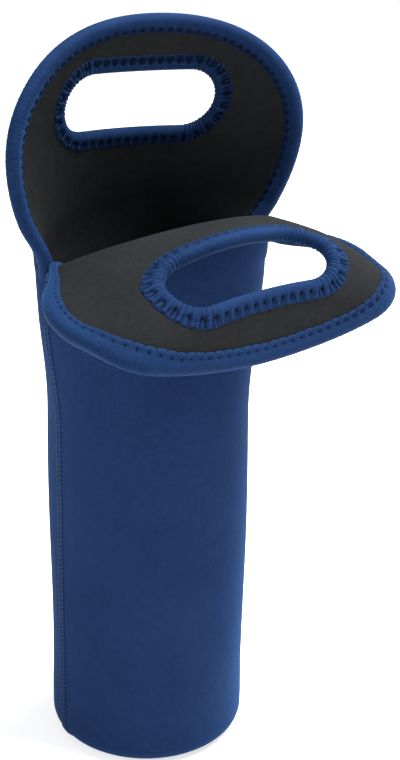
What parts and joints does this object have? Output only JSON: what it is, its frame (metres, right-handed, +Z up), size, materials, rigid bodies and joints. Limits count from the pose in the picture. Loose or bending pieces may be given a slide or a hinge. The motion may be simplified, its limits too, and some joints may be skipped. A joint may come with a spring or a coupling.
{
  "type": "bottle carrier",
  "caption": "Soft padded single-bottle carrier: a round upright tube with two bound handle flaps, each with a hand hole, the front one folded open.",
  "frame": {"origin": "middle of the round base, on the ground", "axes": "+Z up along the tube, -Y towards the folded front flap, +X to the right seen from the front"},
  "size_m": [0.1549, 0.1499, 0.3445],
  "materials": {
    "cover": "matt knit",
    "binding": "satin knit",
    "lining": "matt knit",
    "foam": "closed-cell foam"
  },
  "bodies": {
    "tube": {"front_panel_cover": "cover", "front_panel_foam": "foam", "front_panel_lining": "lining", "back_panel_cover": "cover", "back_panel_foam": "foam", "back_panel_lining": "lining", "base_cover": "cover", "base_foam": "foam", "base_lining": "lining", "base_seam_binding": "lining", "left_side_seam": "binding", "right_side_seam": "binding", "front_fold_cover": "cover", "front_fold_foam": "foam", "front_fold_lining": "lining", "front_fold_left_binding": "binding", "front_fold_right_binding": "binding", "back_fold_cover": "cover", "back_fold_foam": "foam", "back_fold_lining": "lining", "back_fold_left_binding": "binding", "back_fold_right_binding": "binding"},
    "front_flap": {"front_flap_cover": "cover", "front_flap_foam": "foam", "front_flap_lining": "lining", "front_edge_binding": "binding", "front_hole_binding": "binding"},
    "back_flap": {"back_flap_cover": "cover", "back_flap_foam": "foam", "back_flap_lining": "lining", "back_edge_binding": "binding", "back_hole_binding": "binding"}
  },
  "joints": [
    {"name": "front_flap_fold", "type": "hinge", "parent": "tube", "child": "front_flap", "pos_m": [0, -0.04, 0.252], "axis": [1, 0, 0], "range_deg": [-105, 45], "deforming": ["front_fold_cover", "front_fold_foam", "front_fold_lining", "front_fold_left_binding", "front_fold_right_binding"]},
    {"name": "back_flap_lean", "type": "hinge", "parent": "tube", "child": "back_flap", "pos_m": [0, 0.039, 0.25], "axis": [1, 0, 0], "range_deg": [-35, 12], "deforming": ["back_fold_cover", "back_fold_foam", "back_fold_lining", "back_fold_left_binding", "back_fold_right_binding"]}
  ]
}
